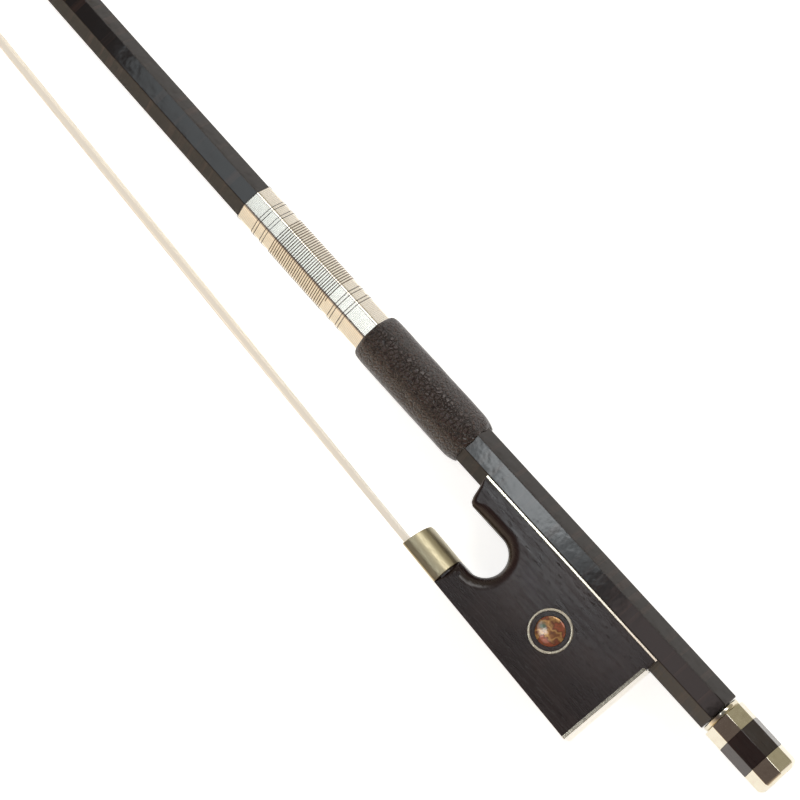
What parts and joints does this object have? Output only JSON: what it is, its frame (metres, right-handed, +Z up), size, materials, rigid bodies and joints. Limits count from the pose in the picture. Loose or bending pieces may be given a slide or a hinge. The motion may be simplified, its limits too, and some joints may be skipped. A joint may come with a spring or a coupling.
{
  "type": "violin bow",
  "caption": "Full-size violin bow with an octagonal carbon handle, wound grip, sliding frog, turning screw button, and a flat ribbon of hair; it lies on its side.",
  "frame": {"origin": "below the middle of the whole bow, on the surface that it lies on", "axes": "+X along the handle from the head to the button, +Y from the hair towards the stick's back, +Z up out of the frog's side"},
  "size_m": [0.745, 0.0586, 0.0132],
  "materials": {
    "carbon": "clear-coated carbon-fibre weave",
    "ebony": "satin polished ebony",
    "nickel_silver": "polished nickel silver",
    "steel": "machined steel",
    "brass": "machined brass",
    "leather": "fine-grained dark leather",
    "pearl": "polished abalone shell",
    "maple": "plain cut wood",
    "horsehair": "unbleached white horsehair",
    "hair_tie": "hair end bound with thread",
    "tip_face": "polished bone-white plate"
  },
  "bodies": {
    "stick": {"stick": "carbon", "tip_plate": "tip_face", "tip_liner": "ebony", "tip_plug": "maple", "tip_hair_knot": "hair_tie", "winding": "nickel_silver", "thumb_leather": "leather", "hair_ribbon": "horsehair"},
    "frog": {"frog_body": "ebony", "underslide": "nickel_silver", "underslide_pin_front": "nickel_silver", "underslide_pin_rear": "nickel_silver", "eyelet": "brass", "ferrule": "nickel_silver", "ferrule_wedge": "maple", "frog_hair_knot": "hair_tie", "frog_plug": "maple", "slide_backing": "nickel_silver", "pearl_slide": "pearl", "heel_plate_upper": "nickel_silver", "heel_plate_lower": "nickel_silver", "heel_pin_upper": "nickel_silver", "heel_pin_lower": "nickel_silver", "eye_ring_left": "nickel_silver", "eye_ring_right": "nickel_silver", "eye_pearl_left": "pearl", "eye_pearl_right": "pearl"},
    "button": {"adjusting_screw": "steel", "button_collar": "nickel_silver", "button_front_ring": "nickel_silver", "button_core": "ebony", "button_cap": "nickel_silver"}
  },
  "joints": [
    {"name": "button_turn", "type": "hinge", "parent": "stick", "child": "button", "pos_m": [0.35632, -0.0051, 0.0066], "axis": [-1, 0, 0], "range_deg": [0, 3960]},
    {"name": "frog_slide", "type": "slide", "parent": "stick", "child": "frog", "axis": [1, 0, 0], "range_m": [0, 0.00776], "deforming": ["hair_ribbon"]}
  ],
  "couplings": [
    {"joint": "button_turn", "follows": "frog_slide", "rad_per_m": 8904.7}
  ]
}
